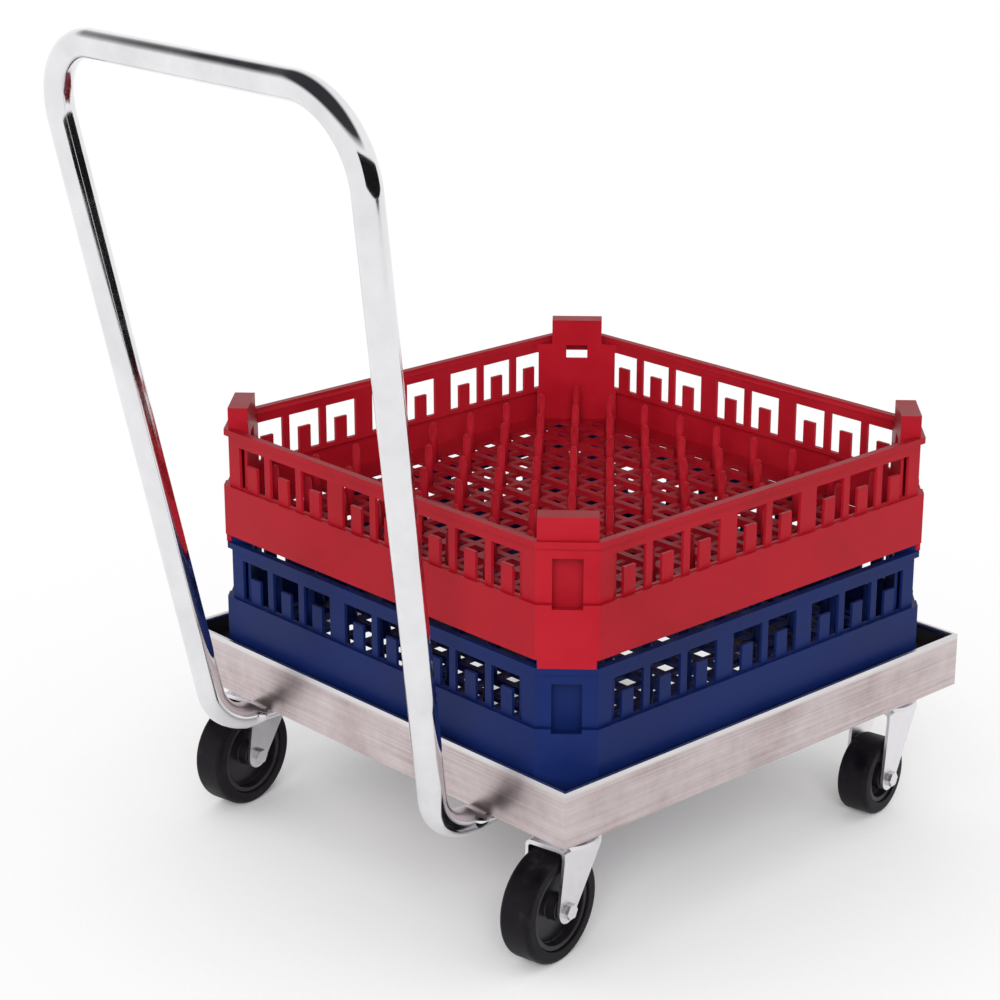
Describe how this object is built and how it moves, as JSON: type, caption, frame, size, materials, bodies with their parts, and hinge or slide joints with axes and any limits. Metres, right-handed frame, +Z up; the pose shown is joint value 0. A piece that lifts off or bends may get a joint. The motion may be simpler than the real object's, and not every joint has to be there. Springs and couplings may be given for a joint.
{
  "type": "rack dolly",
  "caption": "Square dish rack dolly on swivel casters with a tall bent push handle, carrying two stacked plastic dish racks that lift off.",
  "frame": {"origin": "On the floor under the middle of the whole part's bounding box; the deck's middle is about 89 mm ahead of it along +X.", "axes": "+X is the way the dolly is pushed, away from the handle; +Y is its left side; +Z is up and the floor is z = 0."},
  "size_m": [0.7028, 0.525, 0.7818],
  "materials": {
    "frame": "satin extruded aluminium",
    "zinc": "zinc plated pressed steel",
    "steel": "plain bearing steel",
    "handle": "bright chrome plated tube",
    "black_plastic": "black moulded plastic",
    "wheel_core": "black moulded wheel core",
    "tyre": "black rubber",
    "blue_plastic": "dark blue moulded polypropylene",
    "red_plastic": "red moulded polypropylene"
  },
  "bodies": {
    "dolly": {"front_rail": "frame", "rear_rail": "frame", "left_rail": "frame", "right_rail": "frame", "deck_liner": "black_plastic", "front_cross_plate": "frame", "rear_cross_plate": "frame", "caster_bolts": "zinc", "caster_nuts": "zinc", "swivel_balls": "steel", "handle_tube": "handle", "handle_bolts": "zinc", "handle_nuts": "zinc", "rear_left_top_plate": "zinc", "rear_left_kingpin": "zinc", "rear_right_top_plate": "zinc", "rear_right_kingpin": "zinc", "front_left_top_plate": "zinc", "front_left_kingpin": "zinc", "front_right_top_plate": "zinc", "front_right_kingpin": "zinc"},
    "rear_left_swivel": {"rear_left_fork": "zinc", "rear_left_axle_bolt": "zinc", "rear_left_axle_nut": "zinc", "rear_left_bushing": "steel"},
    "rear_left_wheel": {"rear_left_hub": "wheel_core", "rear_left_tyre": "tyre"},
    "rear_right_swivel": {"rear_right_fork": "zinc", "rear_right_axle_bolt": "zinc", "rear_right_axle_nut": "zinc", "rear_right_bushing": "steel"},
    "rear_right_wheel": {"rear_right_hub": "wheel_core", "rear_right_tyre": "tyre"},
    "front_left_swivel": {"front_left_fork": "zinc", "front_left_axle_bolt": "zinc", "front_left_axle_nut": "zinc", "front_left_bushing": "steel"},
    "front_left_wheel": {"front_left_hub": "wheel_core", "front_left_tyre": "tyre"},
    "front_right_swivel": {"front_right_fork": "zinc", "front_right_axle_bolt": "zinc", "front_right_axle_nut": "zinc", "front_right_bushing": "steel"},
    "front_right_wheel": {"front_right_hub": "wheel_core", "front_right_tyre": "tyre"},
    "lower_rack": {"lower_rack_walls": "blue_plastic", "lower_rack_floor": "blue_plastic", "lower_rack_pegs": "blue_plastic"},
    "upper_rack": {"upper_rack_walls": "red_plastic", "upper_rack_floor": "red_plastic", "upper_rack_pegs": "red_plastic"}
  },
  "joints": [
    {"name": "rear_left_swivel_turn", "type": "hinge", "parent": "dolly", "child": "rear_left_swivel", "pos_m": [-0.12757, 0.2165, 0.11], "axis": [0, 0, 1], "continuous": true},
    {"name": "rear_left_wheel_spin", "type": "hinge", "parent": "rear_left_swivel", "child": "rear_left_wheel", "pos_m": [-0.1522, 0.21216, 0.0508], "axis": [-0.1736, 0.9848, 0], "continuous": true},
    {"name": "rear_right_swivel_turn", "type": "hinge", "parent": "dolly", "child": "rear_right_swivel", "pos_m": [-0.12757, -0.2165, 0.11], "axis": [0, 0, 1], "continuous": true},
    {"name": "rear_right_wheel_spin", "type": "hinge", "parent": "rear_right_swivel", "child": "rear_right_wheel", "pos_m": [-0.1522, -0.22084, 0.0508], "axis": [-0.1736, 0.9848, 0], "continuous": true},
    {"name": "front_left_swivel_turn", "type": "hinge", "parent": "dolly", "child": "front_left_swivel", "pos_m": [0.30543, 0.2165, 0.11], "axis": [0, 0, 1], "continuous": true},
    {"name": "front_left_wheel_spin", "type": "hinge", "parent": "front_left_swivel", "child": "front_left_wheel", "pos_m": [0.2808, 0.21216, 0.038], "axis": [-0.1736, 0.9848, 0], "continuous": true},
    {"name": "front_right_swivel_turn", "type": "hinge", "parent": "dolly", "child": "front_right_swivel", "pos_m": [0.30543, -0.2165, 0.11], "axis": [0, 0, 1], "continuous": true},
    {"name": "front_right_wheel_spin", "type": "hinge", "parent": "front_right_swivel", "child": "front_right_wheel", "pos_m": [0.2808, -0.22084, 0.038], "axis": [-0.1736, 0.9848, 0], "continuous": true},
    {"name": "lower_rack_lift", "type": "slide", "parent": "dolly", "child": "lower_rack", "axis": [0, 0, 1], "range_m": [0, 0.25]},
    {"name": "upper_rack_lift", "type": "slide", "parent": "lower_rack", "child": "upper_rack", "axis": [0, 0, 1], "range_m": [0, 0.25]}
  ]
}
